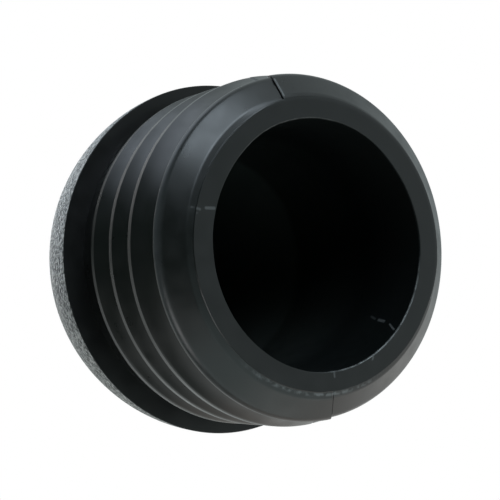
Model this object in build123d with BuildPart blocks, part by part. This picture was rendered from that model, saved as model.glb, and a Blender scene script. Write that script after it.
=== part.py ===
from build123d import *
import os
from math import radians, tan

# One-piece moulded end cap for a round tube, in millimetres.
# The frame stands on the open rim: Z runs from the rim (z = 0) through the barrel to the domed head.

# Tube that the cap closes
tube_diameter = 25.0  # outside, and the head is flush with it
tube_wall = 1.0

# Head
crown_height = 12.2  # from the shoulder to the top of the dome
crown_wall = 5.5  # between the end of the hollow and the top of the dome

# Barbs, which grip the inside of the tube
barb_grip = 0.2  # how far a barb stands out past the inside of the tube
barb_height = 0.7  # from the root to the land
barb_count = 3  # full barbs above the lead barb
barb_pitch = 2.65
barb_land = 0.4  # flat top of a barb, along Z
flank_radius = 8.0  # hollow curve of a barb's sloping flank
neck_length = 2.6  # from the last barb to the shoulder

# Lead barb and lead-in, which start the cap into the tube
lead_clearance = 0.2  # between the lead barb and the inside of the tube
lead_in_height = 1.4  # height of the lead-in chamfer
lead_land = 0.3  # from the chamfer to the lead barb's step
lead_in_radius = 0.45  # rounding between the chamfer and the lead barb

# Rim, and the hollow that a tapered core leaves
barrel_wall = 2.9  # from the hollow's mouth to the root of the barbs
rim_width = 1.48  # from the mouth to the corner of the lead-in chamfer
rim_edge_radius = 0.4
draft = 0.5  # degrees on each side of the hollow
core_chamfer = 4.5  # round the hollow's flat end, at 45 degrees, to keep the wall even under the dome

head_radius = tube_diameter / 2
tube_bore_radius = head_radius - tube_wall
barb_radius = tube_bore_radius + barb_grip
root_radius = barb_radius - barb_height
lead_barb_radius = tube_bore_radius - lead_clearance
mouth_radius = root_radius - barrel_wall
rim_radius = mouth_radius + rim_width

lead_step_z = lead_in_height + lead_land
last_step_z = lead_step_z + barb_count * barb_pitch
shoulder_z = last_step_z + neck_length
top_z = shoulder_z + crown_height
dome_radius = (head_radius**2 + crown_height**2) / (2 * crown_height)

hollow_top_z = top_z - crown_wall
hollow_wall_z = hollow_top_z - core_chamfer
hollow_end_radius = mouth_radius - hollow_wall_z * tan(radians(draft))

rim_corner = (rim_radius, 0)
lead_corner = (lead_barb_radius, lead_in_height)

with BuildPart() as end_cap:
    with BuildSketch(Plane.XZ) as section:
        with BuildLine():
            # rim, lead-in chamfer and lead barb
            Polyline((mouth_radius, 0), rim_corner, lead_corner)
            Polyline(lead_corner, (lead_barb_radius, lead_step_z), (root_radius, lead_step_z))
            # each barb: a hollow flank, a land and a square step back to the root
            for barb in range(barb_count):
                foot_z = lead_step_z + barb * barb_pitch
                step_z = foot_z + barb_pitch
                flank = RadiusArc((root_radius, foot_z), (barb_radius, step_z - barb_land), flank_radius)
                Polyline(flank @ 1, (barb_radius, step_z), (root_radius, step_z))
            # neck, shoulder and dome
            Polyline((root_radius, last_step_z), (root_radius, shoulder_z), (head_radius, shoulder_z))
            RadiusArc((head_radius, shoulder_z), (0, top_z), -dome_radius)
            # hollow, from its flat end down to the mouth
            Polyline((0, top_z), (0, hollow_top_z), (hollow_end_radius - core_chamfer, hollow_top_z))
            Line((hollow_end_radius - core_chamfer, hollow_top_z), (hollow_end_radius, hollow_wall_z))
            Line((hollow_end_radius, hollow_wall_z), (mouth_radius, 0))
        make_face()
        fillet(section.vertices().sort_by_distance(rim_corner)[0], radius=rim_edge_radius)
        fillet(section.vertices().sort_by_distance(lead_corner)[0], radius=lead_in_radius)
    revolve(axis=Axis.Z)

end_cap.part.label = "end_cap"

os.makedirs("parts", exist_ok=True)
export_step(end_cap.part, "parts/end_cap.step")
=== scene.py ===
from math import asin, cos, pi, radians, sin, tan

import bpy
from mathutils import Matrix, Vector


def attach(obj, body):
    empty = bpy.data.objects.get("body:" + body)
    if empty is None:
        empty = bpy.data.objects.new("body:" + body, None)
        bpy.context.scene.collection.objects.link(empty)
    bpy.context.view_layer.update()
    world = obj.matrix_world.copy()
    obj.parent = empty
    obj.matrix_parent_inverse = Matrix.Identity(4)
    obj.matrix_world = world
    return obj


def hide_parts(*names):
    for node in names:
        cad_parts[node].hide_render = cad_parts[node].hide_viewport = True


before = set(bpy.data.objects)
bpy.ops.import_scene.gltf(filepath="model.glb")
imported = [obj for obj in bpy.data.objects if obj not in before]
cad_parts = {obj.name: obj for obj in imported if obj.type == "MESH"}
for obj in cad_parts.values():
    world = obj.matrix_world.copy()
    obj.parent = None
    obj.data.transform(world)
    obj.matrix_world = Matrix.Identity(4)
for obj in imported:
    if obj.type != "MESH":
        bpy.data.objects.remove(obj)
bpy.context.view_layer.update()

MM = 0.001

# The camera: what it aims at and how far off it is in millimetres, and how it is turned in degrees
CAMERA_AIM = (0.3229, 0.0119, 8.5783)
CAMERA_DISTANCE = 93.914
CAMERA_AZIMUTH = 2.119
CAMERA_ELEVATION = -57.697
CAMERA_ROLL = 97.537
CAMERA_LENS = 97.2
CAMERA_SENSOR_WIDTH = 36.0
CAMERA_CLIP = (0.005, 20.0)  # metres

# Sizes of the cap in millimetres, as the solid has them
HEAD_RADIUS = 12.5
BARB_RADIUS = 11.7
ROOT_RADIUS = 11.0
LEAD_BARB_RADIUS = 11.3
MOUTH_RADIUS = 8.1
RIM_FLAT_RADIUS = 9.42  # where the rim's flat ends, in a fine step
RIM_STEP = (9.46, 0.06)  # radius and height
LEDGE = (9.86, 0.18)  # where the narrow ledge round the rim meets the lead-in
LEAD_CORNER = (11.248, 1.31)  # where the lead-in turns up to the lead barb
LEAD_LAND_Z = 1.55  # where the lead barb's narrow land starts
LEAD_STEP_Z = 1.7  # foot of the first barb's flank
LEAD_CREST_Z = 1.8  # rear edge of the lead barb's land
BARB_COUNT = 3
BARB_PITCH = 2.65
BARB_LAND = 0.4
FLANK_RADIUS = 8.0
SHOULDER_Z = 12.25
TOP_Z = 24.45
HOLLOW_TOP_Z = 18.95
HOLLOW_WALL_Z = 14.45
HOLLOW_END_RADIUS = 7.974
CORE_CHAMFER = 4.5

# Small roundings that the mould leaves
RIM_EDGE_ROUNDING = 0.02
LEDGE_ROUNDING = 0.4
LEAD_IN_ROUNDING = 0.7
MOUTH_ROUNDING = 0.1
LEAD_BARB_ROUNDING = 0.06
LAND_ROUNDING = 0.03
ROOT_ROUNDING = 0.05
HEAD_EDGE_ROUNDING = 0.04
CORE_ROUNDING = 0.7
LARGE_ROUNDING = 0.5  # a rounding of this size or more gets more rows
GUARD = 0.02  # from the end of a small rounding to the row that keeps the flat beside it flat
STEP_MIDDLE_RADIUS = 11.15  # where one barb's outline hands over to the next, on the flat of the step

# How finely the outline and the turn are divided
COLUMNS_PER_HALF = 220
DOME_RINGS = 56
FLANK_ROWS = 5
HOLLOW_END_ROWS = (0.04, 0.3, 0.6)  # shares of the way out over the hollow's flat end
CHAMFER_ROWS = (0.35, 0.65)  # shares of the way down the hollow's chamfer
WALL_ROWS = 8
LAST_WALL_ROW = (0.002, 0.25)  # how far inside the mouth's radius, and how high
RIM_ROWS = (0.25, 0.6, 1.0)  # how far outside the mouth's radius
LAST_RIM_ROW = 0.12  # how far inside the edge of the rim's flat
LEAD_IN_ROWS = (0.3, 0.5, 0.7)  # shares of the way up the lead-in
NECK_ROWS = (0.3, 0.6)  # how far above the last barb, and how far below the shoulder
SHOULDER_ROWS = (0.3, 0.5)  # how far outside the neck, and how far inside the head's edge
ROUNDING_ROWS = 3
LARGE_ROUNDING_ROWS = 8
SHARP_ANGLE = 40.0  # degrees; a sharper bend than this is an edge
MERGE_DISTANCE = 1e-7  # metres; points of the skin nearer than this become one
HAIR = 0.001  # a length that is too small to matter

# The two mould halves meet along the barrel and are a little out of line
SEAM_OFFSET = 0.96  # from the middle plane to the seams, at the rim
SEAM_LEAN = 0.26  # how much nearer the seams come to the middle plane for each millimetre up the lead-in
SEAM_SWING = -0.5  # degrees, at the rim
SEAM_TURN = -0.4  # degrees more for each millimetre up the lead-in
SEAM_WIDTH = 0.09  # half the width of the fine groove at each seam
SEAM_DEPTH = 0.16
SEAM_BEHIND_LEAD = 0.3  # share of the groove's depth that is left on the barbs and the neck
SEAM_START = 0.15  # the groove deepens over this height, from the rim up
SEAM_FADE_Z = 0.95  # from this height up the groove gets shallower again
SEAM_FADE = 0.3  # over this height
SEAM_FINISH_FROM = 0.5  # share of its depth from which the groove has its own material, dull and painted dark as shade
HALF_SHIFT = (0.12, -0.11)
SHIFT_BEHIND_LEAD = 0.15  # share of the shift that is left on the barbs and the neck

# The mouth's edge isn't quite round, and neither edge of the rim is quite even
BULGE = 0.17  # how far the mouth bulges on one side
BULGE_MIDDLE = 8.0  # degrees
BULGE_REACH = 55.0  # degrees from its middle
MOUTH_INSET = 0.03  # how much smaller the mouth is away from the bulge
MOUTH_FADE_UP = 4.0  # the mouth's unevenness dies out over this height of the wall
MOUTH_FADE_OUT = 0.8  # and over this width of the rim
MOUTH_WAVE = 0.05
MOUTH_WAVES = 5.0  # to a radian
MOUTH_CORNER_REACH = 1.5  # roundings from the mouth's corner within which a point belongs to it
RIM_WAVE = 0.10
RIM_WAVES = 12.0  # to a radian
RIM_EDGE_REACH = 0.2  # how far out, in and up the rim's unevenness reaches from its edge
RIM_WAVE_CALM = 0.35  # share of the wave on the calm side
RAGGED_MIDDLE = 168.0  # degrees, where the rim's outer edge is raggedest
RAGGED_REACH = 65.0
SHARP_MOUTH_MIDDLE = -101.0  # degrees, where the mouth's edge is sharpest
SHARP_MOUTH_REACH = 85.0
SHARP_MOUTH_SHARE = 0.3  # share of the mouth's rounding that is left there
RIM_DIP = 0.08  # how much smaller the rim's flat is on one side
RIM_DIP_MIDDLE = -161.0
RIM_DIP_REACH = 75.0
PLAIN_EDGE_RADIUS = 9.58  # the edge of the rim's flat where the lead-in has no ledge
PLAIN_EDGE_MIDDLE = 48.5
PLAIN_EDGE_CORE = 55.0  # degrees from its middle within which there is no ledge at all
PLAIN_EDGE_REACH = 82.0
PLAIN_EDGE_START = 0.02  # inside the edge of the rim's flat
PLAIN_EDGE_BEND = 0.03  # outside the fine step
PLAIN_EDGE_END = 0.07  # outside the ledge
PLAIN_EDGE_TOP = 0.3
PLAIN_EDGE_EASE = 0.04  # how far up the straight lead-in the middle of it lies, measured outwards

# Which finish a strip of the outline has
BORE, RIM, BARREL, SHOULDER, DOME, SEAM = range(6)


# ---------------------------------------------------------------- camera

def place_camera():
    """A camera that looks up into the open end, turned so that the cap lies on its side."""
    azimuth = radians(CAMERA_AZIMUTH)
    elevation = radians(CAMERA_ELEVATION)
    roll = radians(CAMERA_ROLL)
    back = Vector((sin(azimuth) * cos(elevation), -cos(azimuth) * cos(elevation), sin(elevation)))
    level_right = (-back).cross(Vector((0, 0, 1))).normalized()
    level_up = level_right.cross(-back)
    up = level_up * cos(roll) + level_right * sin(roll)
    right = level_right * cos(roll) - level_up * sin(roll)
    data = bpy.data.cameras.new("camera")
    data.lens = CAMERA_LENS
    data.sensor_width = CAMERA_SENSOR_WIDTH
    data.clip_start, data.clip_end = CAMERA_CLIP
    camera = bpy.data.objects.new("camera", data)
    bpy.context.scene.collection.objects.link(camera)
    turn = Matrix((right, up, back)).transposed().to_4x4()
    place = Vector(CAMERA_AIM) * MM + back * (CAMERA_DISTANCE * MM)
    camera.matrix_world = Matrix.Translation(place) @ turn
    bpy.context.scene.camera = camera


# ---------------------------------------------------------------- node helpers

def add_node(tree, kind, inputs=None, **settings):
    """A node with its settings made and its inputs set or linked."""
    node = tree.nodes.new(kind)
    for name, value in settings.items():
        setattr(node, name, value)
    for key, value in (inputs or {}).items():
        if isinstance(value, bpy.types.NodeSocket):
            tree.links.new(value, node.inputs[key])
        else:
            node.inputs[key].default_value = value
    return node


def math_node(tree, operation, first, second=0.0):
    return add_node(tree, "ShaderNodeMath", {0: first, 1: second}, operation=operation).outputs[0]


def new_material(name):
    material = bpy.data.materials.new(name)
    material.use_nodes = True
    material.node_tree.nodes.clear()
    return material, material.node_tree


def finish_material(tree, shader):
    add_node(tree, "ShaderNodeOutputMaterial", {"Surface": shader})


def near_direction(tree, place, direction, core, edge):
    """1 up to `core` degrees from a direction, fading to 0 at `edge` degrees from it."""
    nearness = add_node(
        tree, "ShaderNodeVectorMath", {0: place, 1: direction}, operation="DOT_PRODUCT"
    ).outputs["Value"]
    return add_node(
        tree,
        "ShaderNodeMapRange",
        {0: nearness, 1: cos(radians(edge)), 2: cos(radians(core)), 3: 0.0, 4: 1.0},
        interpolation_type="SMOOTHSTEP",
    ).outputs[0]


# ---------------------------------------------------------------- outline of the cap

def rounded(corners):
    """The outline's points, with an arc in place of each corner that has a rounding."""
    points = []
    for index, (r, z, rounding, finish) in enumerate(corners):
        corner = Vector((r, z))
        if not rounding:
            points.append((r, z, finish))
            continue
        before = (Vector(corners[index - 1][:2]) - corner).normalized()
        after = (Vector(corners[index + 1][:2]) - corner).normalized()
        half_angle = before.angle(after) / 2
        reach = rounding / tan(half_angle)
        centre = corner + (before + after).normalized() * rounding / sin(half_angle)
        start = corner + before * reach - centre
        end = corner + after * reach - centre
        large = rounding >= LARGE_ROUNDING
        rows = LARGE_ROUNDING_ROWS if large else ROUNDING_ROWS
        last_finish = corners[index - 1][3]
        if not large:
            guard = corner + before * (reach + GUARD)
            points.append((guard.x, guard.y, last_finish))
        for step in range(rows + 1):
            spoke = start.lerp(end, step / rows).normalized() * rounding
            place = centre + spoke
            points.append((place.x, place.y, finish if step >= rows / 2 else last_finish))
        if not large:
            guard = corner + after * (reach + GUARD)
            points.append((guard.x, guard.y, finish))
    return points


def lower_outline():
    """From the middle of the hollow's end, down the hollow, over the rim and up to the lead barb's step."""
    corners = [(0, HOLLOW_TOP_Z, 0, BORE)]
    inner_end = HOLLOW_END_RADIUS - CORE_CHAMFER
    for share in HOLLOW_END_ROWS:
        corners.append((inner_end * share, HOLLOW_TOP_Z, 0, BORE))
    corners.append((inner_end, HOLLOW_TOP_Z, CORE_ROUNDING, BORE))
    for share in CHAMFER_ROWS:
        corners.append((inner_end + CORE_CHAMFER * share, HOLLOW_TOP_Z - CORE_CHAMFER * share, 0, BORE))
    corners.append((HOLLOW_END_RADIUS, HOLLOW_WALL_Z, CORE_ROUNDING, BORE))
    for row in range(1, WALL_ROWS):
        share = row / WALL_ROWS
        r = HOLLOW_END_RADIUS + (MOUTH_RADIUS - HOLLOW_END_RADIUS) * share
        corners.append((r, HOLLOW_WALL_Z * (1 - share), 0, BORE))
    inset, height = LAST_WALL_ROW
    corners.append((MOUTH_RADIUS - inset, height, 0, BORE))
    corners.append((MOUTH_RADIUS, 0, MOUTH_ROUNDING, RIM))
    for width in RIM_ROWS:
        corners.append((MOUTH_RADIUS + width, 0, 0, RIM))
    corners.append((RIM_FLAT_RADIUS - LAST_RIM_ROW, 0, 0, RIM))
    corners.append((RIM_FLAT_RADIUS, 0, RIM_EDGE_ROUNDING, BARREL))
    corners.append((*RIM_STEP, RIM_EDGE_ROUNDING, BARREL))
    corners.append((*LEDGE, LEDGE_ROUNDING, BARREL))
    for share in LEAD_IN_ROWS:
        place = Vector(LEDGE).lerp(Vector(LEAD_CORNER), share)
        corners.append((place.x, place.y, 0, BARREL))
    corners.append((*LEAD_CORNER, LEAD_IN_ROUNDING, BARREL))
    corners.append((LEAD_BARB_RADIUS, LEAD_LAND_Z, 0, BARREL))
    corners.append((LEAD_BARB_RADIUS, LEAD_CREST_Z, LEAD_BARB_ROUNDING, BARREL))
    corners.append((STEP_MIDDLE_RADIUS, (LEAD_CREST_Z + LEAD_STEP_Z) / 2, 0, BARREL))
    return rounded(corners)[:-1]


def barb_outline():
    """One barb: from the middle of the step below it, up its hollow flank and over its land."""
    foot = Vector((ROOT_RADIUS, 0))
    crest = Vector((BARB_RADIUS, BARB_PITCH - BARB_LAND))
    chord = crest - foot
    sag = chord.length_squared / (8 * FLANK_RADIUS)
    inward = Vector((-chord.y, chord.x)).normalized()
    corners = [(STEP_MIDDLE_RADIUS, 0, 0, BARREL), (ROOT_RADIUS, 0, ROOT_ROUNDING, BARREL)]
    for row in range(1, FLANK_ROWS):
        share = row / FLANK_ROWS
        place = foot + chord * share + inward * sag * 4 * share * (1 - share)
        corners.append((place.x, place.y, 0, BARREL))
    corners.append((BARB_RADIUS, BARB_PITCH - BARB_LAND, LAND_ROUNDING, BARREL))
    corners.append((BARB_RADIUS, BARB_PITCH - BARB_LAND / 2, 0, BARREL))
    corners.append((BARB_RADIUS, BARB_PITCH, LAND_ROUNDING, BARREL))
    corners.append((STEP_MIDDLE_RADIUS, BARB_PITCH, 0, BARREL))
    return [(r, z + LEAD_STEP_Z, finish) for r, z, finish in rounded(corners)[:-1]]


def upper_outline():
    """From the last barb's step along the neck and the shoulder, and over the dome to its top."""
    last_step_z = LEAD_STEP_Z + BARB_COUNT * BARB_PITCH
    crown = TOP_Z - SHOULDER_Z
    dome_radius = (HEAD_RADIUS**2 + crown**2) / (2 * crown)
    dome_centre = TOP_Z - dome_radius
    edge_angle = asin((SHOULDER_Z - dome_centre) / dome_radius)
    corners = [
        (STEP_MIDDLE_RADIUS, last_step_z, 0, BARREL),
        (ROOT_RADIUS, last_step_z, ROOT_ROUNDING, BARREL),
        (ROOT_RADIUS, last_step_z + NECK_ROWS[0], 0, BARREL),
        (ROOT_RADIUS, SHOULDER_Z - NECK_ROWS[1], 0, BARREL),
        (ROOT_RADIUS, SHOULDER_Z, 0, SHOULDER),
        (ROOT_RADIUS + SHOULDER_ROWS[0], SHOULDER_Z, 0, SHOULDER),
        (HEAD_RADIUS - SHOULDER_ROWS[1], SHOULDER_Z, 0, SHOULDER),
        (HEAD_RADIUS, SHOULDER_Z, HEAD_EDGE_ROUNDING, DOME),
    ]
    for ring in range(1, DOME_RINGS):
        angle = edge_angle + (pi / 2 - edge_angle) * ring / DOME_RINGS
        corners.append((dome_radius * cos(angle), dome_centre + dome_radius * sin(angle), 0, DOME))
    corners.append((0, TOP_Z, 0, DOME))
    return rounded(corners)


def seam_share(z, finish):
    """How far the seam shows at a point: all of it on the barrel, none on the rim face and the head."""
    if finish in (BORE, RIM, DOME) or z > SHOULDER_Z - HAIR:
        return 0.0
    return min(1.0, z / SEAM_START)


def groove_share(z, behind_lead):
    """How deep the seam's groove is at a height: shallower from near the top of the lead-in on."""
    if behind_lead:
        return SEAM_BEHIND_LEAD
    return max(SEAM_BEHIND_LEAD, 1 - max(0.0, z - SEAM_FADE_Z) / SEAM_FADE)


def mouth_share(r, z, finish):
    """How far a point moves with the mouth's edge: fully at the edge, fading over the rim and up the bore."""
    if finish not in (BORE, RIM) or r < HOLLOW_END_RADIUS - HAIR:
        return 0.0
    return max(0.0, 1 - z / MOUTH_FADE_UP - max(0.0, r - MOUTH_RADIUS) / MOUTH_FADE_OUT)


def rim_share(r, z):
    """How far a point moves with the rim's outer edge."""
    middle = (RIM_FLAT_RADIUS + RIM_STEP[0]) / 2
    return max(0.0, 1 - abs(r - middle) / RIM_EDGE_REACH) if z < RIM_EDGE_REACH else 0.0


def plain_offset(r, z):
    """How a point of the step and the ledge moves where the lead-in runs straight down to the rim."""
    foot = RIM_FLAT_RADIUS - PLAIN_EDGE_START
    bend = RIM_STEP[0] + PLAIN_EDGE_BEND
    end = LEDGE[0] + PLAIN_EDGE_END
    if z > PLAIN_EDGE_TOP or not foot < r < end:
        return Vector((0, 0))
    rise = (LEAD_CORNER[1] - LEDGE[1]) / (LEAD_CORNER[0] - LEDGE[0])
    cone_foot = LEDGE[0] - LEDGE[1] / rise
    low = Vector((PLAIN_EDGE_RADIUS, 0))
    middle = Vector((cone_foot + PLAIN_EDGE_EASE, PLAIN_EDGE_EASE * rise))
    high = Vector((end, (end - cone_foot) * rise))
    if r < bend:
        target = low.lerp(middle, (r - foot) / (bend - foot))
    else:
        target = middle.lerp(high, (r - bend) / (end - bend))
    return target - Vector((r, z))


def outline_points():
    """A mesh of loose points, one outline run after another, with what each point carries."""
    runs = (lower_outline(), barb_outline(), upper_outline())
    places, run_numbers, finishes = [], [], []
    offsets = {"rounding": [], "plain": []}
    shares = {"seam": [], "slide": [], "mouth": [], "rim": []}
    for number, run in enumerate(runs):
        for r, z, finish in run:
            behind_lead = number > 0
            seam = seam_share(z, finish)
            places.append((r * MM, 0, z * MM))
            run_numbers.append(number)
            finishes.append(finish)
            shares["seam"].append(seam * groove_share(z, behind_lead))
            shares["slide"].append(seam * (SHIFT_BEHIND_LEAD if behind_lead else 1.0))
            shares["mouth"].append(mouth_share(r, z, finish))
            shares["rim"].append(rim_share(r, z))
            from_mouth = Vector((r - MOUTH_RADIUS, z))
            at_mouth = from_mouth.length < MOUTH_CORNER_REACH * MOUTH_ROUNDING
            offsets["rounding"].append(from_mouth if at_mouth else Vector((0, 0)))
            offsets["plain"].append(Vector((0, 0)) if behind_lead else plain_offset(r, z))
    mesh = bpy.data.meshes.new("cap_outline")
    mesh.from_pydata(places, [], [])
    for name, values in (("run", run_numbers), ("finish", finishes)):
        mesh.attributes.new(name, "INT", "POINT").data.foreach_set("value", values)
    for name, values in shares.items():
        mesh.attributes.new(name, "FLOAT", "POINT").data.foreach_set("value", values)
    for name, values in offsets.items():
        parts = [part for out, up in values for part in (out * MM, 0, up * MM)]
        mesh.attributes.new(name, "FLOAT_VECTOR", "POINT").data.foreach_set("vector", parts)
    return mesh


# ---------------------------------------------------------------- the turned cap, by geometry nodes

def new_tree(name, sockets):
    """A geometry tree with a geometry input and output and the named inputs."""
    tree = bpy.data.node_groups.new(name, "GeometryNodeTree")
    tree.interface.new_socket("Geometry", in_out="INPUT", socket_type="NodeSocketGeometry")
    for socket_name, kind in sockets:
        tree.interface.new_socket(socket_name, in_out="INPUT", socket_type=kind)
    tree.interface.new_socket("Geometry", in_out="OUTPUT", socket_type="NodeSocketGeometry")
    return tree


def named_attribute(tree, name, kind):
    node = add_node(tree, "GeometryNodeInputNamedAttribute", {"Name": name}, data_type=kind)
    return node.outputs["Attribute"]


def compare_whole(tree, first, second):
    return add_node(
        tree, "FunctionNodeCompare", {2: first, 3: second}, data_type="INT", operation="EQUAL"
    ).outputs[0]


def blend_values(tree, share, first, second):
    """The first value where the share is 0, the second where it is 1."""
    return add_node(tree, "ShaderNodeMix", {0: share, 2: first, 3: second}).outputs[0]


def column_and_row(tree, index, per_column):
    """Splits a running number into the column and the place in it."""
    column = math_node(tree, "DIVIDE", math_node(tree, "ADD", index, 0.5), per_column)
    column = math_node(tree, "FLOOR", column)
    return column, math_node(tree, "SUBTRACT", index, math_node(tree, "MULTIPLY", column, per_column))


def outline_run(tree, geometry, number):
    chosen = compare_whole(tree, named_attribute(tree, "run", "INT"), number)
    return add_node(
        tree, "GeometryNodeSeparateGeometry", {"Geometry": geometry, "Selection": chosen}, domain="POINT"
    ).outputs["Selection"]


def sample(tree, geometry, value, index, kind):
    """The value that the outline's point of that index carries."""
    node = add_node(
        tree,
        "GeometryNodeSampleIndex",
        {"Geometry": geometry, "Index": index},
        data_type=kind,
        domain="POINT",
    )
    tree.links.new(value, node.inputs["Value"])
    return node.outputs["Value"]


def near_heading(tree, heading, middle, reach, core=0.0):
    """1 up to `core` degrees from the middle heading, fading to 0 at `reach` degrees from it."""
    toward = (cos(radians(middle)), sin(radians(middle)), 0)
    return near_direction(tree, heading, toward, core, reach)


def moved(tree, place, offset, share):
    """A place moved by a share of the offset."""
    inputs = {0: share, 1: offset, 2: place}
    return add_node(tree, "ShaderNodeVectorMath", inputs, operation="MULTIPLY_ADD").outputs[0]


def mesh_step(tree, kind, geometry, inputs=None, **settings):
    """The geometry after one more node has worked on it."""
    return add_node(tree, kind, {"Geometry": geometry, **(inputs or {})}, **settings).outputs["Geometry"]


def edge_wave(tree, heading, waves):
    """Uneven from about -0.5 to 0.5 round the turn, with about `waves` waves to a radian."""
    inputs = {"Vector": heading, "Scale": waves, "Detail": 2.0}
    wave = add_node(tree, "ShaderNodeTexNoise", inputs).outputs[0]
    return math_node(tree, "SUBTRACT", wave, 0.5)


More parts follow.
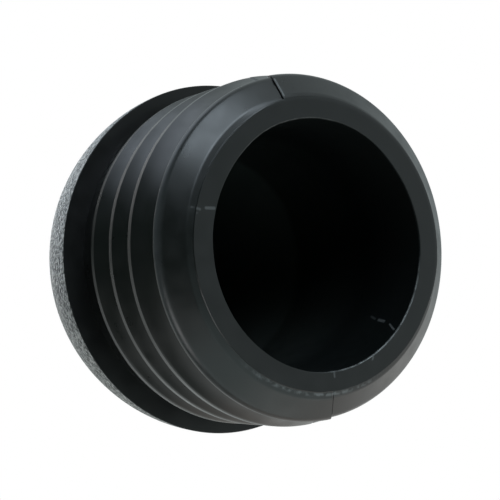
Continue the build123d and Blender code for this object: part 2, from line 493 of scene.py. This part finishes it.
def cap_tree(materials):
    """Turns the outline about Z in two mould halves, with the barb repeated up the barrel."""
    tree = new_tree(
        "turned_cap",
        (
            ("Barb Count", "NodeSocketInt"),
            ("Barb Pitch", "NodeSocketFloat"),
            ("Columns Per Half", "NodeSocketInt"),
            ("Seam Offset", "NodeSocketFloat"),
            ("Seam Lean", "NodeSocketFloat"),
            ("Seam Swing", "NodeSocketFloat"),
            ("Seam Turn", "NodeSocketFloat"),
            ("Seam Width", "NodeSocketFloat"),
            ("Seam Depth", "NodeSocketFloat"),
            ("Half Shift", "NodeSocketVector"),
            ("Mouth Bulge", "NodeSocketFloat"),
            ("Mouth Inset", "NodeSocketFloat"),
            ("Mouth Wave", "NodeSocketFloat"),
            ("Rim Wave", "NodeSocketFloat"),
            ("Rim Dip", "NodeSocketFloat"),
        ),
    )
    given = add_node(tree, "NodeGroupInput").outputs
    geometry = given["Geometry"]

    # the outline, with the barb repeated
    pitch = add_node(tree, "ShaderNodeCombineXYZ", {"Z": given["Barb Pitch"]}).outputs[0]
    feet = add_node(
        tree,
        "GeometryNodeMeshLine",
        {"Count": given["Barb Count"], "Start Location": (0, 0, 0), "Offset": pitch},
    ).outputs["Mesh"]
    barbs = add_node(
        tree, "GeometryNodeInstanceOnPoints", {"Points": feet, "Instance": outline_run(tree, geometry, 1)}
    ).outputs["Instances"]
    barbs = mesh_step(tree, "GeometryNodeRealizeInstances", barbs)
    joined = tree.nodes.new("GeometryNodeJoinGeometry")
    for run in (outline_run(tree, geometry, 2), barbs, outline_run(tree, geometry, 0)):
        tree.links.new(run, joined.inputs["Geometry"])
    outline = joined.outputs["Geometry"]
    rows = add_node(tree, "GeometryNodeAttributeDomainSize", {"Geometry": outline}).outputs["Point Count"]

    # a sheet of columns and rows that becomes the skin; each half has a last column for the seam's groove
    per_half = given["Columns Per Half"]
    stride = math_node(tree, "ADD", per_half, 1.0)
    columns = math_node(tree, "ADD", math_node(tree, "MULTIPLY", stride, 2.0), 1.0)
    sheet = add_node(
        tree,
        "GeometryNodeMeshGrid",
        {"Size X": 1.0, "Size Y": 1.0, "Vertices X": columns, "Vertices Y": rows},
    ).outputs["Mesh"]
    index = add_node(tree, "GeometryNodeInputIndex").outputs[0]
    column, row = column_and_row(tree, index, rows)
    half, place = column_and_row(tree, column, stride)

    # what the outline gives to this row
    position = add_node(tree, "GeometryNodeInputPosition").outputs[0]
    outline_spot = sample(tree, outline, position, row, "FLOAT_VECTOR")
    distance, _, height = add_node(tree, "ShaderNodeSeparateXYZ", {0: outline_spot}).outputs
    seam, slide, mouth, rim = (
        sample(tree, outline, named_attribute(tree, name, "FLOAT"), row, "FLOAT")
        for name in ("seam", "slide", "mouth", "rim")
    )
    rounding, plain = (
        sample(tree, outline, named_attribute(tree, name, "FLOAT_VECTOR"), row, "FLOAT_VECTOR")
        for name in ("rounding", "plain")
    )

    # the angle of each column; each half starts and ends beside a seam
    reach = math_node(tree, "MAXIMUM", distance, MOUTH_RADIUS * MM)
    climb = math_node(tree, "MINIMUM", height, LEAD_STEP_Z * MM)
    offset = math_node(tree, "MULTIPLY", climb, given["Seam Lean"])
    offset = math_node(tree, "SUBTRACT", given["Seam Offset"], offset)
    lean = math_node(tree, "ARCSINE", math_node(tree, "DIVIDE", offset, reach))
    turn = math_node(tree, "MULTIPLY", climb, given["Seam Turn"])
    turn = math_node(tree, "ADD", given["Seam Swing"], turn)
    width = math_node(tree, "DIVIDE", given["Seam Width"], reach)
    half_turn = math_node(tree, "MULTIPLY", half, pi)
    side = math_node(tree, "COSINE", half_turn)
    swing = math_node(tree, "MULTIPLY", lean, side)
    seam_here = math_node(tree, "SUBTRACT", half_turn, swing)
    span = math_node(tree, "ADD", pi, math_node(tree, "MULTIPLY", swing, 2.0))
    share = math_node(tree, "DIVIDE", place, math_node(tree, "SUBTRACT", per_half, 1.0))
    open_span = math_node(tree, "SUBTRACT", span, math_node(tree, "MULTIPLY", width, 2.0))
    along = math_node(tree, "ADD", width, math_node(tree, "MULTIPLY", share, open_span))
    groove = math_node(tree, "GREATER_THAN", place, math_node(tree, "SUBTRACT", per_half, 0.5))
    along = blend_values(tree, groove, along, span)
    angle = math_node(tree, "ADD", math_node(tree, "ADD", seam_here, along), turn)

    # the uneven edges of the mouth and the rim
    heading_x = math_node(tree, "COSINE", angle)
    heading_y = math_node(tree, "SINE", angle)
    heading = add_node(tree, "ShaderNodeCombineXYZ", {"X": heading_x, "Y": heading_y}).outputs[0]
    bulge = near_heading(tree, heading, BULGE_MIDDLE, BULGE_REACH)
    bulge = math_node(tree, "MULTIPLY", bulge, given["Mouth Bulge"])
    mouth_wave = math_node(tree, "MULTIPLY", edge_wave(tree, heading, MOUTH_WAVES), given["Mouth Wave"])
    mouth_offset = math_node(tree, "SUBTRACT", bulge, given["Mouth Inset"])
    mouth_offset = math_node(tree, "ADD", mouth_offset, mouth_wave)
    ragged = near_heading(tree, heading, RAGGED_MIDDLE, RAGGED_REACH)
    ragged = blend_values(tree, ragged, RIM_WAVE_CALM, 1.0)
    rim_offset = math_node(tree, "MULTIPLY", edge_wave(tree, heading, RIM_WAVES), given["Rim Wave"])
    rim_offset = math_node(tree, "MULTIPLY", rim_offset, ragged)
    dip = near_heading(tree, heading, RIM_DIP_MIDDLE, RIM_DIP_REACH)
    rim_offset = math_node(tree, "SUBTRACT", rim_offset, math_node(tree, "MULTIPLY", dip, given["Rim Dip"]))
    no_ledge = near_heading(tree, heading, PLAIN_EDGE_MIDDLE, PLAIN_EDGE_REACH, PLAIN_EDGE_CORE)
    sharp_mouth = near_heading(tree, heading, SHARP_MOUTH_MIDDLE, SHARP_MOUTH_REACH)
    rounded_off = math_node(tree, "MULTIPLY", sharp_mouth, SHARP_MOUTH_SHARE - 1.0)
    spot = moved(tree, outline_spot, rounding, rounded_off)
    spot = moved(tree, spot, plain, no_ledge)
    spot = add_node(tree, "ShaderNodeSeparateXYZ", {0: spot}).outputs
    mouth_offset = math_node(tree, "MULTIPLY", mouth, mouth_offset)
    rim_offset = math_node(tree, "MULTIPLY", rim, rim_offset)
    edges = math_node(tree, "ADD", mouth_offset, rim_offset)

    # where each point of the sheet goes
    cut = math_node(tree, "MULTIPLY", math_node(tree, "MULTIPLY", groove, seam), given["Seam Depth"])
    radius = math_node(tree, "ADD", math_node(tree, "SUBTRACT", spot["X"], cut), edges)
    high_side = blend_values(tree, groove, math_node(tree, "MAXIMUM", side, 0.0), 0.5)
    shifted = math_node(tree, "MULTIPLY", slide, high_side)
    x = math_node(tree, "MULTIPLY", radius, heading_x)
    y = math_node(tree, "MULTIPLY", radius, heading_y)
    target = add_node(tree, "ShaderNodeCombineXYZ", {"X": x, "Y": y, "Z": spot["Z"]}).outputs[0]
    target = moved(tree, target, given["Half Shift"], shifted)
    skin = mesh_step(tree, "GeometryNodeSetPosition", sheet, {"Position": target})

    # each strip's finish, kept on its faces
    face_column, strip = column_and_row(tree, index, math_node(tree, "SUBTRACT", rows, 1.0))
    finish = sample(tree, outline, named_attribute(tree, "finish", "INT"), strip, "INT")
    face_place = column_and_row(tree, face_column, stride)[1]
    in_groove = math_node(tree, "GREATER_THAN", face_place, math_node(tree, "SUBTRACT", per_half, 1.5))
    strip_seam = sample(tree, outline, named_attribute(tree, "seam", "FLOAT"), strip, "FLOAT")
    deep_enough = math_node(tree, "GREATER_THAN", strip_seam, SEAM_FINISH_FROM)
    in_groove = math_node(tree, "MULTIPLY", in_groove, deep_enough)
    finish = blend_values(tree, in_groove, finish, SEAM)
    skin = mesh_step(
        tree,
        "GeometryNodeStoreNamedAttribute",
        skin,
        {"Name": "finish", "Value": finish},
        data_type="INT",
        domain="FACE",
    )

    # close the sheet and the poles, and keep the sharp corners sharp
    skin = mesh_step(tree, "GeometryNodeMergeByDistance", skin, {"Distance": MERGE_DISTANCE})
    skin = mesh_step(tree, "GeometryNodeSetShadeSmooth", skin, {"Shade Smooth": True})
    bend = add_node(tree, "GeometryNodeInputMeshEdgeAngle").outputs["Unsigned Angle"]
    sharp = math_node(tree, "GREATER_THAN", bend, radians(SHARP_ANGLE))
    sharp_edges = {"Selection": sharp, "Shade Smooth": False}
    skin = mesh_step(tree, "GeometryNodeSetShadeSmooth", skin, sharp_edges, domain="EDGE")
    skin = mesh_step(tree, "GeometryNodeRealizeInstances", skin)
    finish = named_attribute(tree, "finish", "INT")
    for number, material in enumerate(materials):
        faces = compare_whole(tree, finish, number)
        skin = mesh_step(tree, "GeometryNodeSetMaterial", skin, {"Selection": faces, "Material": material})
    add_node(tree, "NodeGroupOutput", {"Geometry": skin})
    return tree


def run_tree(piece, tree, settings):
    """Runs a geometry tree on a piece and leaves the result as its plain mesh."""
    modifier = piece.modifiers.new(tree.name, "NODES")
    modifier.node_group = tree
    for item in tree.interface.items_tree:
        if item.in_out == "INPUT" and item.name in settings:
            modifier[item.identifier] = settings[item.name]
    bpy.context.view_layer.update()
    depsgraph = bpy.context.evaluated_depsgraph_get()
    mesh = bpy.data.meshes.new_from_object(piece.evaluated_get(depsgraph))
    piece.modifiers.clear()
    piece.data = mesh


def leave_empty_slot_out(mesh):
    """Geometry nodes leave the sheet's own empty slot first; this takes it away."""
    if mesh.materials[0] is None:
        numbers = [face.material_index for face in mesh.polygons]
        mesh.materials.pop(index=0)
        mesh.polygons.foreach_set("material_index", [number - 1 for number in numbers])


def make_cap():
    materials = (
        bore_plastic(),
        rim_plastic(),
        barrel_plastic(),
        shoulder_plastic(),
        dome_plastic(),
        seam_plastic(),
    )
    cap = bpy.data.objects.new("cap", outline_points())
    bpy.context.scene.collection.objects.link(cap)
    run_tree(
        cap,
        cap_tree(materials),
        {
            "Barb Count": BARB_COUNT,
            "Barb Pitch": BARB_PITCH * MM,
            "Columns Per Half": COLUMNS_PER_HALF,
            "Seam Offset": SEAM_OFFSET * MM,
            "Seam Lean": SEAM_LEAN,
            "Seam Swing": radians(SEAM_SWING),
            "Seam Turn": radians(SEAM_TURN) / MM,
            "Seam Width": SEAM_WIDTH * MM,
            "Seam Depth": SEAM_DEPTH * MM,
            "Half Shift": [part * MM for part in HALF_SHIFT] + [0.0],
            "Mouth Bulge": BULGE * MM,
            "Mouth Inset": MOUTH_INSET * MM,
            "Mouth Wave": MOUTH_WAVE * MM,
            "Rim Wave": RIM_WAVE * MM,
            "Rim Dip": RIM_DIP * MM,
        },
    )
    cap.data.name = "cap"
    leave_empty_slot_out(cap.data)
    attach(cap, "root")
    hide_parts("end_cap")


# ---------------------------------------------------------------- materials

PLASTIC_IOR = 1.5
PLAIN_SHINE = 0.5  # how strongly the plastic reflects where the mould left it smooth
CLOUD_SIZE = 1.5  # of the faint unevenness in how glossy the plastic is
CLOUD_EDGES = (0.3, 0.7)  # the noise at which a cloud starts and is full
CLOUD_CONTRAST = 0.06

BLACK = (0.004, 0.0045, 0.0045, 1)
# painted highlight on the lead barb's rounding and land
LEAD_PAINTED_HIGHLIGHT = (0.045, 0.048, 0.05, 1)
# painted highlight on the barbs' crests
CREST_PAINTED_HIGHLIGHT = (0.10, 0.10, 0.10, 1)
SCUFFED = (0.08, 0.083, 0.085, 1)
# pale scratches, and a painted highlight along the seam's raised edge
SCRATCH_AND_HIGHLIGHT = (0.11, 0.114, 0.116, 1)
# the mouth's edge: pale flash, partly a painted highlight
EDGE_FLASH_AND_HIGHLIGHT = (0.16, 0.165, 0.165, 1)
BORE_BLACK = (0.003, 0.004, 0.004, 1)
# painted light: the hollow's wall is paler deeper in
BORE_DEEP_PAINTED_LIGHT = (0.026, 0.03, 0.028, 1)
# painted shade under the head: darker than the barrel's black
SHOULDER_SHADE_COLOURS = ((0.002, 0.002, 0.002, 1), (0.004, 0.004, 0.004, 1))
# painted shade in the seam's groove
SEAM_SHADE_COLOURS = ((0.001, 0.001, 0.001, 1), (0.004, 0.004, 0.004, 1))

# Where the colours change, in millimetres: the change starts at the first measure and ends at the second
BORE_DEEP_LIGHT_Z = (6.0, 14.0)
BORE_END_Z = (14.5, 18.9)
BORE_END_LIGHT_SHARE = 0.45  # share of the painted light that is left at the hollow's end
MOUTH_EDGE_Z = (0.05, 0.1)
MOUTH_CORNER_Z = (0.0, 0.012)
MOUTH_EDGE_DISTANCE = (8.6, 8.8)
LEAD_Z = (1.05, 1.5)
LEAD_END_Z = (1.72, 1.78)
LEAD_DISTANCE = (10.8, 11.1)
SCUFF_BAND = (9.52, 0.16)  # distance of its middle from the axis, and its half width
SCUFF_TOP_Z = (0.3, 0.4)
CREST_DISTANCE = (11.62, 11.68)
BAND_CORE = 0.3  # share of a band's half width that isn't faded
MARK_CORE = 0.4  # the same for a short mark

# The side of the cap that each mark lies on (the scuffs, the pale flash and the painted highlights): its
# middle and its reach to either side, in degrees
MOUTH_FLASH_AND_HIGHLIGHT_SIDE = (149.0, 50.0)
MOUTH_FAINT_SIDE = (-12.0, 42.0)
MOUTH_FAINT_SHARE = 0.3
LEAD_HIGHLIGHT_SIDE = (-95.0, 85.0)
SCUFF_SIDE = (-165.0, 40.0)
CREST_HIGHLIGHT_SIDE = (-150.0, 45.0)

# The head's grain, with its tops painted pale as sheen
GRAIN_SIZE = 0.26
GRAIN_DEPTH = 0.08
GRAIN_DETAIL = 1.5
GRAIN_EDGES = (0.36, 0.64)  # the noise at which a pit ends and a grain's top starts
GRAIN_PIT = (0.01, 0.01, 0.01, 1)
GRAIN_TOP_PAINTED_SHEEN = (0.3, 0.3, 0.3, 1)
GRAIN_ROUGHNESS = (0.75, 0.5)  # of a pit and of a top
GRAIN_HAZE = 0.5  # pale haze that the rough grain shows at grazing angles
GRAIN_HAZE_ROUGHNESS = 0.4

# Short pale marks: start, end, half width and strength
RIM_SCRATCHES = (
    ((3.43, -7.47, 0), (3.52, -8.04, 0), 0.13, 0.45),
    ((3.50, -8.50, 0), (3.66, -8.84, 0), 0.12, 0.35),
    ((3.30, -8.70, 0), (3.30, -8.76, 0), 0.07, 0.2),
    ((-7.78, 2.66, 0), (-7.92, 2.56, 0), 0.08, 0.5),
    ((-8.10, -0.60, 0), (-8.42, -0.64, 0), 0.10, 0.4),
)
BARREL_SCRATCHES_AND_HIGHLIGHT = (
    ((-4.70, 8.26, 0.05), (-4.80, 8.42, 0.1), 0.12, 0.5),
    ((5.03, -10.02, 1.65), (5.11, -10.18, 1.7), 0.12, 0.4),
    ((3.66, -8.84, 0.02), (3.72, -8.96, 0.1), 0.10, 0.3),
    # not a scratch: a painted highlight along the raised edge beside the seam's groove
    ((9.86, -0.92, 0.12), (11.08, -0.76, 1.1), 0.08, 0.8),
)
BORE_SCRATCHES = (
    ((-5.54, 5.87, 3.76), (-5.70, 5.71, 3.2), 0.12, 0.2),
    ((-5.76, 5.65, 2.75), (-5.87, 5.54, 2.0), 0.14, 0.5),
    ((-6.05, 5.34, 1.2), (-6.36, 4.97, 0.35), 0.09, 0.6),
)


def plastic_shader(tree, colour, roughness, normal, shine=PLAIN_SHINE):
    inputs = {
        "Base Color": colour,
        "Roughness": roughness,
        "IOR": PLASTIC_IOR,
        "Specular IOR Level": shine,
        "Normal": normal,
    }
    return add_node(tree, "ShaderNodeBsdfPrincipled", inputs).outputs[0]


def noise(tree, place, size, detail=2.0):
    """Noise whose features are about `size` millimetres across."""
    inputs = {"Vector": place, "Scale": 1 / (size * MM), "Detail": detail}
    return add_node(tree, "ShaderNodeTexNoise", inputs).outputs[0]


def spread(tree, value, low, high, to_low, to_high):
    """Carries a value from one range over to another, and no further."""
    inputs = {0: value, 1: low, 2: high, 3: to_low, 4: to_high}
    return add_node(tree, "ShaderNodeMapRange", inputs).outputs[0]


def rise(tree, measure, start, end):
    """0 up to `start` millimetres and 1 from `end` on."""
    return spread(tree, measure, start * MM, end * MM, 0.0, 1.0)


def fall(tree, measure, start, end, least=0.0):
    """1 up to `start` millimetres and `least` from `end` on."""
    return spread(tree, measure, start * MM, end * MM, 1.0, least)


def patchy(tree, place, size, low, high, least=0.0, detail=2.0):
    """Patches about `size` millimetres across: `least` where the noise is under `low`, 1 over `high`."""
    return spread(tree, noise(tree, place, size, detail), low, high, least, 1.0)


def bump(tree, height, depth):
    """Relief of `depth` millimetres from a height that runs 0 to 1."""
    return add_node(tree, "ShaderNodeBump", {"Height": height, "Distance": depth * MM}).outputs[0]


def product(tree, first, *others):
    for other in others:
        first = math_node(tree, "MULTIPLY", first, other)
    return first


def paler(tree, share, colour, pale):
    """The colour, turned towards the pale one by the share."""
    return add_node(tree, "ShaderNodeMix", {0: share, 6: colour, 7: pale}, data_type="RGBA").outputs[2]


def surface_place(tree):
    return add_node(tree, "ShaderNodeTexCoord").outputs["Object"]


def height_of(tree, place):
    return add_node(tree, "ShaderNodeSeparateXYZ", {0: place}).outputs["Z"]


def flattened(tree, place):
    """The place as seen along the axis."""
    return add_node(tree, "ShaderNodeVectorMath", {0: place, 1: (1, 1, 0)}, operation="MULTIPLY").outputs[0]


def distance_of(tree, place):
    """How far the place is from the axis."""
    return add_node(
        tree, "ShaderNodeVectorMath", {0: flattened(tree, place)}, operation="LENGTH"
    ).outputs["Value"]


def facing(tree, place, middle, reach):
    """1 on the side that faces the middle heading, fading to 0 at `reach` degrees from it, round Z."""
    heading = add_node(
        tree, "ShaderNodeVectorMath", {0: flattened(tree, place)}, operation="NORMALIZE"
    ).outputs[0]
    return near_heading(tree, heading, middle, reach)


def band(tree, measure, middle, half_width):
    """1 in the middle of a band of a measure, fading to 0 at its edges; the band is in millimetres."""
    off = math_node(tree, "ABSOLUTE", math_node(tree, "SUBTRACT", measure, middle * MM))
    return fall(tree, off, BAND_CORE * half_width, half_width)


def short_mark(tree, place, start, end, half_width, strength):
    """A short mark from one point of the surface to another."""
    start, end = Vector(start) * MM, Vector(end) * MM
    run = end - start
    offset = add_node(tree, "ShaderNodeVectorMath", {0: place, 1: start}, operation="SUBTRACT").outputs[0]
    along = add_node(
        tree, "ShaderNodeVectorMath", {0: offset, 1: run / run.length_squared}, operation="DOT_PRODUCT"
    ).outputs["Value"]
    along = spread(tree, along, 0.0, 1.0, 0.0, 1.0)
    nearest = add_node(tree, "ShaderNodeVectorMath", {0: along, 1: run}, operation="MULTIPLY").outputs[0]
    gap = add_node(
        tree, "ShaderNodeVectorMath", {0: offset, 1: nearest}, operation="DISTANCE"
    ).outputs["Value"]
    return spread(tree, gap, MARK_CORE * half_width * MM, half_width * MM, strength, 0.0)


def all_short_marks(tree, place, marks):
    """The strongest of the marks at each point."""
    total = 0.0
    for mark in marks:
        total = math_node(tree, "MAXIMUM", total, short_mark(tree, place, *mark))
    return total


def moulded_surface(tree, place, colour, gloss, relief_size, relief_depth, shine=PLAIN_SHINE):
    """Black plastic as the mould leaves it, with faint unevenness."""
    clouds = noise(tree, place, CLOUD_SIZE, detail=3.0)
    roughness = spread(tree, clouds, *CLOUD_EDGES, gloss - CLOUD_CONTRAST, gloss + CLOUD_CONTRAST)
    relief = bump(tree, noise(tree, place, relief_size), relief_depth)
    finish_material(tree, plastic_shader(tree, colour, roughness, relief, shine))


def mouth_flash_and_highlight(tree, place):
    """How pale the mouth's edge is, as pale flash with a painted highlight: most on one side, a little on the
    other.
    """
    faint = math_node(tree, "MULTIPLY", facing(tree, place, *MOUTH_FAINT_SIDE), MOUTH_FAINT_SHARE)
    flash_and_highlight = math_node(tree, "MAXIMUM", facing(tree, place, *MOUTH_FLASH_AND_HIGHLIGHT_SIDE), faint)
    return product(tree, flash_and_highlight, patchy(tree, place, size=0.5, low=0.35, high=0.6, least=0.3))


def bore_plastic():
    """The drawn wall of the hollow, dull and dark, with painted light that makes it paler deeper in."""
    material, tree = new_material("bore_plastic")
    place = surface_place(tree)
    height = height_of(tree, place)
    # painted light: the wall is paler deeper in the hollow, less so at its end
    deep_light = product(
        tree,
        rise(tree, height, *BORE_DEEP_LIGHT_Z),
        fall(tree, height, *BORE_END_Z, least=BORE_END_LIGHT_SHARE),
        patchy(tree, place, size=2.0, low=0.3, high=0.7, least=0.8),
    )
    colour = paler(tree, deep_light, BORE_BLACK, BORE_DEEP_PAINTED_LIGHT)
    colour = paler(tree, all_short_marks(tree, place, BORE_SCRATCHES), colour, SCRATCH_AND_HIGHLIGHT)
    # the mouth's edge: pale flash, partly a painted highlight
    at_edge = fall(tree, height, *MOUTH_EDGE_Z)
    colour = paler(tree, product(tree, at_edge, mouth_flash_and_highlight(tree, place)), colour, EDGE_FLASH_AND_HIGHLIGHT)
    moulded_surface(tree, place, colour, gloss=0.6, relief_size=0.3, relief_depth=0.002, shine=0.08)
    return material


def rim_plastic():
    """The flat of the rim, with a pale mouth edge that is partly flash and partly painted highlight, and a
    few scratches.
    """
    material, tree = new_material("rim_plastic")
    place = surface_place(tree)
    # the mouth's edge: pale flash, partly a painted highlight
    flash_and_highlight = product(
        tree,
        rise(tree, height_of(tree, place), *MOUTH_CORNER_Z),
        fall(tree, distance_of(tree, place), *MOUTH_EDGE_DISTANCE),
        mouth_flash_and_highlight(tree, place),
    )
    colour = paler(tree, flash_and_highlight, BLACK, EDGE_FLASH_AND_HIGHLIGHT)
    colour = paler(tree, all_short_marks(tree, place, RIM_SCRATCHES), colour, SCRATCH_AND_HIGHLIGHT)
    moulded_surface(tree, place, colour, gloss=0.40, relief_size=0.25, relief_depth=0.002)
    return material


def barrel_plastic():
    """The barbs and the lead-in, with painted highlights on one side of the lead barb and of the crests, and
    scuffed round the rim's edge.
    """
    material, tree = new_material("barrel_plastic")
    place = surface_place(tree)
    height = height_of(tree, place)
    distance = distance_of(tree, place)
    # painted highlight on the lead barb's rounding and land, on one side only
    lead = product(
        tree,
        rise(tree, height, *LEAD_Z),
        fall(tree, height, *LEAD_END_Z),
        rise(tree, distance, *LEAD_DISTANCE),
        facing(tree, place, *LEAD_HIGHLIGHT_SIDE),
        patchy(tree, place, size=1.0, low=0.3, high=0.7, least=0.6),
    )
    scuffs = product(
        tree,
        band(tree, distance, *SCUFF_BAND),
        fall(tree, height, *SCUFF_TOP_Z),
        facing(tree, place, *SCUFF_SIDE),
        patchy(tree, place, size=0.35, low=0.42, high=0.6, detail=3.0),
    )
    # painted highlight on the crests, on one side only
    crests = product(tree, rise(tree, distance, *CREST_DISTANCE), facing(tree, place, *CREST_HIGHLIGHT_SIDE))
    colour = paler(tree, lead, BLACK, LEAD_PAINTED_HIGHLIGHT)
    colour = paler(tree, scuffs, colour, SCUFFED)
    colour = paler(tree, crests, colour, CREST_PAINTED_HIGHLIGHT)
    colour = paler(tree, all_short_marks(tree, place, BARREL_SCRATCHES_AND_HIGHLIGHT), colour, SCRATCH_AND_HIGHLIGHT)
    moulded_surface(tree, place, colour, gloss=0.33, relief_size=0.25, relief_depth=0.001)
    return material


def shoulder_plastic():
    """The flat under the head, painted a little darker than the barrel as shade."""
    material, tree = new_material("shoulder_plastic")
    place = surface_place(tree)
    # painted shade under the head, with random tone
    colour = paler(tree, noise(tree, place, size=0.6), *SHOULDER_SHADE_COLOURS)
    moulded_surface(tree, place, colour, gloss=0.40, relief_size=0.25, relief_depth=0.001)
    return material


def seam_plastic():
    """The bottom of the fine groove where the mould halves meet, dull and painted dark as shade."""
    material, tree = new_material("seam_plastic")
    place = surface_place(tree)
    # painted shade: darker than the barrel's black
    colour = paler(tree, noise(tree, place, size=0.4), *SEAM_SHADE_COLOURS)
    moulded_surface(tree, place, colour, gloss=0.85, relief_size=0.25, relief_depth=0.002, shine=0.1)
    return material


def dome_plastic():
    """The head's fine spark-eroded grain, its tops painted pale as sheen and its pits dark."""
    material, tree = new_material("dome_plastic")
    place = surface_place(tree)
    grain = spread(tree, noise(tree, place, GRAIN_SIZE, GRAIN_DETAIL), *GRAIN_EDGES, 0.0, 1.0)
    # painted sheen: the grains' tops are paler than the black plastic
    colour = paler(tree, grain, GRAIN_PIT, GRAIN_TOP_PAINTED_SHEEN)
    roughness = spread(tree, grain, 0.0, 1.0, *GRAIN_ROUGHNESS)
    shader = plastic_shader(tree, colour, roughness, bump(tree, grain, GRAIN_DEPTH))
    shader.node.inputs["Sheen Weight"].default_value = GRAIN_HAZE
    shader.node.inputs["Sheen Roughness"].default_value = GRAIN_HAZE_ROUGHNESS
    finish_material(tree, shader)
    return material


def floor_paint():
    """Pale paint that fades to white and only shows from above, so that light from below reaches the cap."""
    material, tree = new_material("floor_paint")
    paint = add_node(tree, "ShaderNodeBsdfDiffuse", {"Color": FLOOR_COLOUR}).outputs[0]
    glow = add_node(tree, "ShaderNodeEmission", {"Color": WHITE, "Strength": 1.0}).outputs[0]
    place = surface_place(tree)
    distance = add_node(tree, "ShaderNodeVectorMath", {0: place}, operation="LENGTH").outputs["Value"]
    fade = spread(tree, distance, FLOOR_FADE_START * MM, FLOOR_FADE_END * MM, FLOOR_GLOW, 1.0)
    surface = add_node(tree, "ShaderNodeMixShader", {0: fade, 1: paint, 2: glow}).outputs[0]
    clear = add_node(tree, "ShaderNodeBsdfTransparent").outputs[0]
    from_camera = add_node(tree, "ShaderNodeLightPath").outputs["Is Camera Ray"]
    underside = add_node(tree, "ShaderNodeNewGeometry").outputs["Backfacing"]
    shown = math_node(tree, "MULTIPLY", from_camera, math_node(tree, "SUBTRACT", 1.0, underside))
    finish_material(tree, add_node(tree, "ShaderNodeMixShader", {0: shown, 1: clear, 2: surface}).outputs[0])
    return material


# ---------------------------------------------------------------- studio

WHITE = (1, 1, 1, 1)
FLOOR_COLOUR = (0.85, 0.85, 0.85, 1)
FLOOR_GLOW = 0.5  # share of the floor's white that isn't shaded by the cap, close to it
FLOOR_FADE_START = 20.0
FLOOR_FADE_END = 120.0
FLOOR_REACH = 1500.0
FLOOR_GAP = 0.05  # between the rim and the floor

# Soft light round the cap: an even level from the whole room, and round patches. Each has its direction, the
# half angles of its full core and of its faded edge in degrees, and its linear brightness, where 1 is white.
ROOM = (0.045, 0.065, 0.055)
KEY_PATCH = ((0.8, -0.02, -0.6), 1, 26, (6.14, 7.13, 7.96))
TOP_PATCH = ((0.16, 0.05, 0.99), 1, 22, (3.0, 2.95, 3.0))
BACK_PATCH = ((0.83, -0.21, 0.53), 1, 29, (1.36, 1.53, 1.76))
FILL_PATCH = ((-0.75, 0.0, -0.66), 31, 41, (0.8, 0.96, 0.97))
HIGH_PATCH = ((-0.45, -0.27, 0.85), 20, 37, (0.62, 0.64, 0.64))
BACKDROP_PATCH = ((0.21, 0.96, 0.2), 51, 91, (0.54, 0.6, 0.62))
SIDE_PATCH = ((-0.85, 0.53, 0.04), 24, 57, (0.64, 0.57, 0.53))
NEAR_PATCH = ((-0.52, -0.83, -0.2), 5, 23, (2.6, 2.6, 2.6))
PATCHES = (
    KEY_PATCH,
    TOP_PATCH,
    BACK_PATCH,
    FILL_PATCH,
    HIGH_PATCH,
    BACKDROP_PATCH,
    SIDE_PATCH,
    NEAR_PATCH,
)


def soft_patch(tree, sum_so_far, direction, core, edge, brightness):
    """Adds one soft round patch of light to the studio."""
    toward = add_node(tree, "ShaderNodeTexCoord").outputs["Generated"]
    share = near_direction(tree, toward, Vector(direction).normalized(), core, edge)
    inputs = {0: share, 1: brightness, 2: sum_so_far}
    return add_node(tree, "ShaderNodeVectorMath", inputs, operation="MULTIPLY_ADD").outputs[0]


def studio_world():
    """The studio's soft light; the camera sees plain white round the cap."""
    world = bpy.data.worlds.new("studio")
    world.use_nodes = True
    tree = world.node_tree
    tree.nodes.clear()
    light = ROOM
    for patch in PATCHES:
        light = soft_patch(tree, light, *patch)
    path = add_node(tree, "ShaderNodeLightPath").outputs
    seen = math_node(tree, "MAXIMUM", path["Is Camera Ray"], path["Is Transmission Ray"])
    lit = add_node(tree, "ShaderNodeBackground", {"Color": light, "Strength": 1.0}).outputs[0]
    white = add_node(tree, "ShaderNodeBackground", {"Color": WHITE, "Strength": 1.0}).outputs[0]
    sky = add_node(tree, "ShaderNodeMixShader", {0: seen, 1: lit, 2: white}).outputs[0]
    add_node(tree, "ShaderNodeOutputWorld", {"Surface": sky})
    bpy.context.scene.world = world


def lay_floor():
    """A pale floor just under the rim."""
    mesh = bpy.data.meshes.new("floor")
    reach = FLOOR_REACH * MM
    corners = [(-reach, -reach), (reach, -reach), (reach, reach), (-reach, reach)]
    mesh.from_pydata([(x, y, -FLOOR_GAP * MM) for x, y in corners], [], [(0, 1, 2, 3)])
    mesh.materials.append(floor_paint())
    floor = bpy.data.objects.new("floor", mesh)
    bpy.context.scene.collection.objects.link(floor)


place_camera()
make_cap()
studio_world()
lay_floor()

bpy.context.scene.view_settings.view_transform = "Standard"
